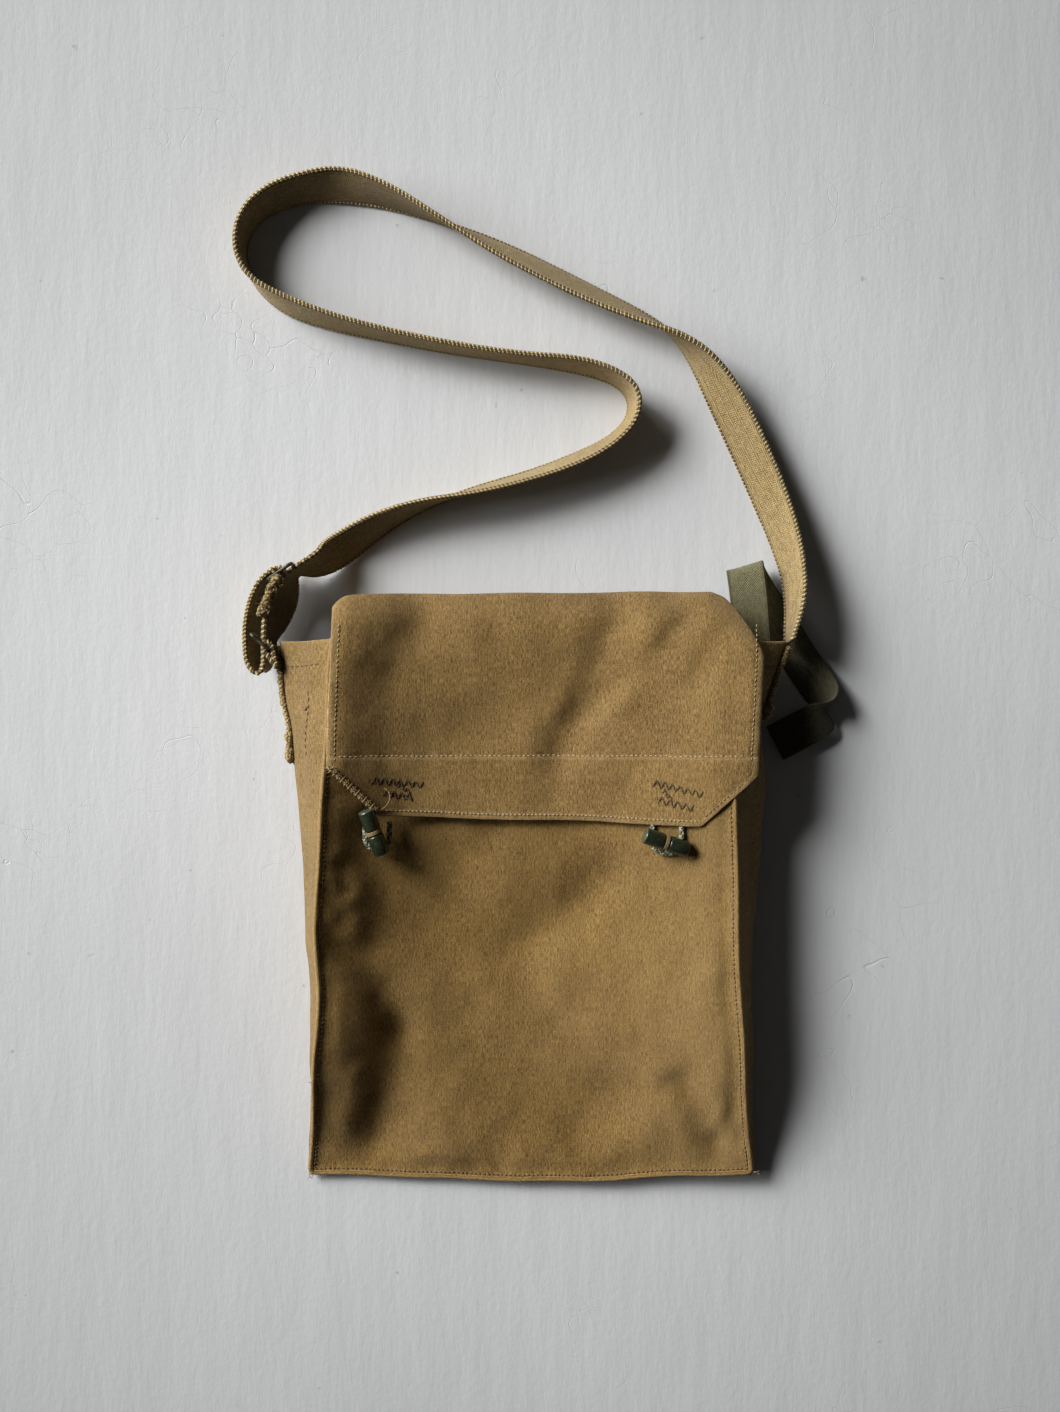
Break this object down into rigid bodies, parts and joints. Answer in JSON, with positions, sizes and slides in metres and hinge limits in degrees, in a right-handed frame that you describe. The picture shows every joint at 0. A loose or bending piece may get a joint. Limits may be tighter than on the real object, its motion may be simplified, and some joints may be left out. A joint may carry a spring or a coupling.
{
  "type": "messenger bag",
  "caption": "Canvas haversack lying on its back, with a toggled flap, a long webbing shoulder strap with ring and slider, and a webbing side loop.",
  "frame": {"origin": "On the centre line of the back panel's outer face, which lies on the ground, 167.5 mm below the mouth and 178 mm above the bottom seam.", "axes": "+Z from the back panel to the front panel, +Y from the bottom seam to the mouth, +X to the side with the olive loop, which is the right seen from the front."},
  "size_m": [0.3919, 0.6536, 0.059],
  "materials": {
    "canvas": "washed khaki cotton canvas, plain weave, matt",
    "webbing": "straw khaki cotton webbing, twill face, matt",
    "olive_tape": "olive herringbone cotton tape, matt",
    "thread": "dull sewing thread",
    "twine": "tan waxed twine",
    "braid": "green and white braided cord",
    "dowel": "dark green gloss paint on a turned dowel",
    "dark_metal": "darkened and tarnished wire"
  },
  "bodies": {
    "bag": {"back_panel": "canvas", "front_panel": "canvas", "front_edge_seam": "canvas", "front_mouth_hem": "canvas", "gusset_bottom": "canvas", "gusset_left": "canvas", "gusset_right": "canvas", "gusset_hem_left": "canvas", "gusset_hem_right": "canvas", "shoulder_strap": "webbing", "strap_return": "webbing", "side_loop": "olive_tape", "strap_chape": "webbing", "strap_end_patch": "webbing", "ring_keeper": "webbing", "toggle_stem_left": "twine", "toggle_stem_right": "twine"},
    "flap_bridge": {"flap_bridge": "canvas"},
    "flap": {"flap_front": "canvas", "flap_hem_band": "canvas", "bartack_left": "thread", "bartack_right": "thread", "cord_loop_left": "braid", "cord_loop_right": "braid"},
    "toggle_left": {"toggle_left": "dowel", "toggle_twine_left": "twine"},
    "toggle_right": {"toggle_right": "dowel", "toggle_twine_right": "twine"},
    "strap_ring": {"strap_ring": "dark_metal"},
    "slider": {"slider": "dark_metal", "strap_end_loop": "webbing"}
  },
  "joints": [
    {"name": "flap_base", "type": "hinge", "parent": "bag", "child": "flap_bridge", "pos_m": [0, 0.172, 0.0006], "axis": [-1, 0, 0], "range_deg": [0, 30]},
    {"name": "flap_fold", "type": "hinge", "parent": "flap_bridge", "child": "flap", "pos_m": [0, 0.194, 0.057], "axis": [-1, 0, 0], "range_deg": [0, 150], "deforming": ["cord_loop_left", "cord_loop_right"]},
    {"name": "toggle_left_turn", "type": "hinge", "parent": "bag", "child": "toggle_left", "pos_m": [-0.1005, 0.04448, 0.05202], "axis": [0, -0.0837, 0.9965], "range_deg": [-60, 60]},
    {"name": "toggle_right_turn", "type": "hinge", "parent": "bag", "child": "toggle_right", "pos_m": [0.084, 0.03801, 0.05148], "axis": [0, -0.0837, 0.9965], "range_deg": [-60, 60]},
    {"name": "ring_swing", "type": "hinge", "parent": "bag", "child": "strap_ring", "pos_m": [-0.1688, 0.161, 0.024], "axis": [0, 0, 1], "range_deg": [-20, 20], "deforming": ["strap_return"]},
    {"name": "slider_slide", "type": "slide", "parent": "bag", "child": "slider", "axis": [0.8211, 0.5708, 0], "range_m": [-0.006, 0.006], "deforming": ["shoulder_strap"]}
  ]
}
